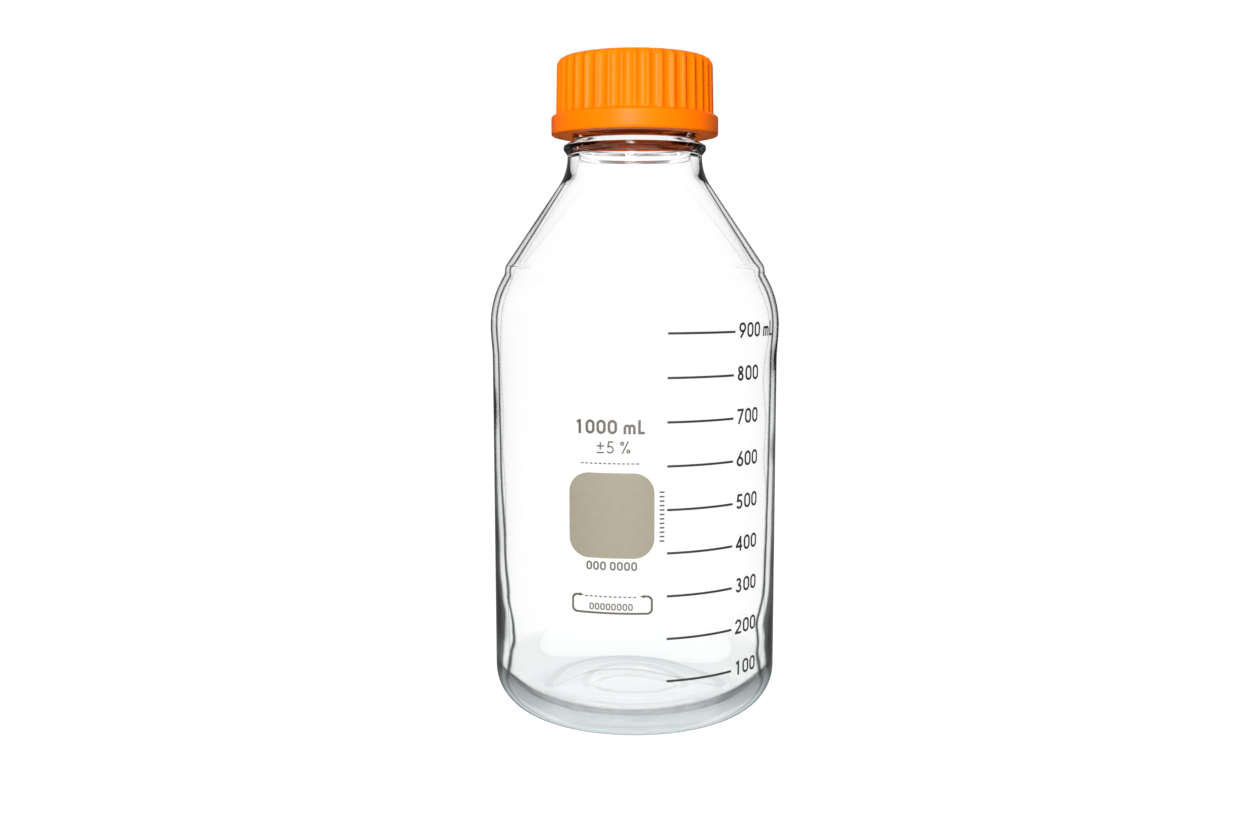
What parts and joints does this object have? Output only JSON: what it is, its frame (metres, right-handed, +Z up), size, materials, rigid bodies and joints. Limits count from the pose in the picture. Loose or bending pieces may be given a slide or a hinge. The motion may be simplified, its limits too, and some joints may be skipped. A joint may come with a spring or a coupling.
{
  "type": "screw cap laboratory bottle",
  "caption": "Round glass laboratory bottle with an enamel volume scale and marking spot, a wide threaded neck, a pouring ring and a ribbed orange screw cap that unscrews and lifts off.",
  "frame": {"origin": "centre of the circle the bottle stands on", "axes": "+Z up along the bottle's axis, towards the cap; the print faces -Y"},
  "size_m": [0.1022, 0.1022, 0.2299],
  "materials": {
    "glass": "clear, polished",
    "cap_plastic": "satin moulded polypropylene",
    "ring_plastic": "smooth moulded polypropylene",
    "seal_plastic": "smooth soft moulding",
    "scale_enamel": "dark fired enamel",
    "print_enamel": "lighter fired enamel",
    "spot_enamel": "fired enamel, slightly rough to write on"
  },
  "bodies": {
    "bottle": {"bottle": "glass", "pouring_ring": "ring_plastic", "scale_100": "scale_enamel", "scale_200": "scale_enamel", "scale_300": "scale_enamel", "scale_400": "scale_enamel", "scale_500": "scale_enamel", "scale_600": "scale_enamel", "scale_700": "scale_enamel", "scale_800": "scale_enamel", "scale_900": "scale_enamel", "capacity_mark": "print_enamel", "tolerance_mark": "print_enamel", "upper_rule": "print_enamel", "marking_spot": "spot_enamel", "type_number": "print_enamel", "code_frame": "print_enamel", "code_rule": "print_enamel", "code_number": "print_enamel", "side_rule": "print_enamel"},
    "seal": {"cap_seal": "seal_plastic"},
    "cap": {"cap": "cap_plastic"}
  },
  "joints": [
    {"name": "cap_lift", "type": "slide", "parent": "bottle", "child": "seal", "axis": [0, 0, 1], "range_m": [0, 0.032]},
    {"name": "cap_turn", "type": "hinge", "parent": "seal", "child": "cap", "pos_m": [0, 0, 0.215], "axis": [0, 0, 1], "range_deg": [0, 2880]}
  ],
  "couplings": [
    {"joint": "cap_lift", "follows": "cap_turn", "m_per_rad": 0.00063662}
  ]
}
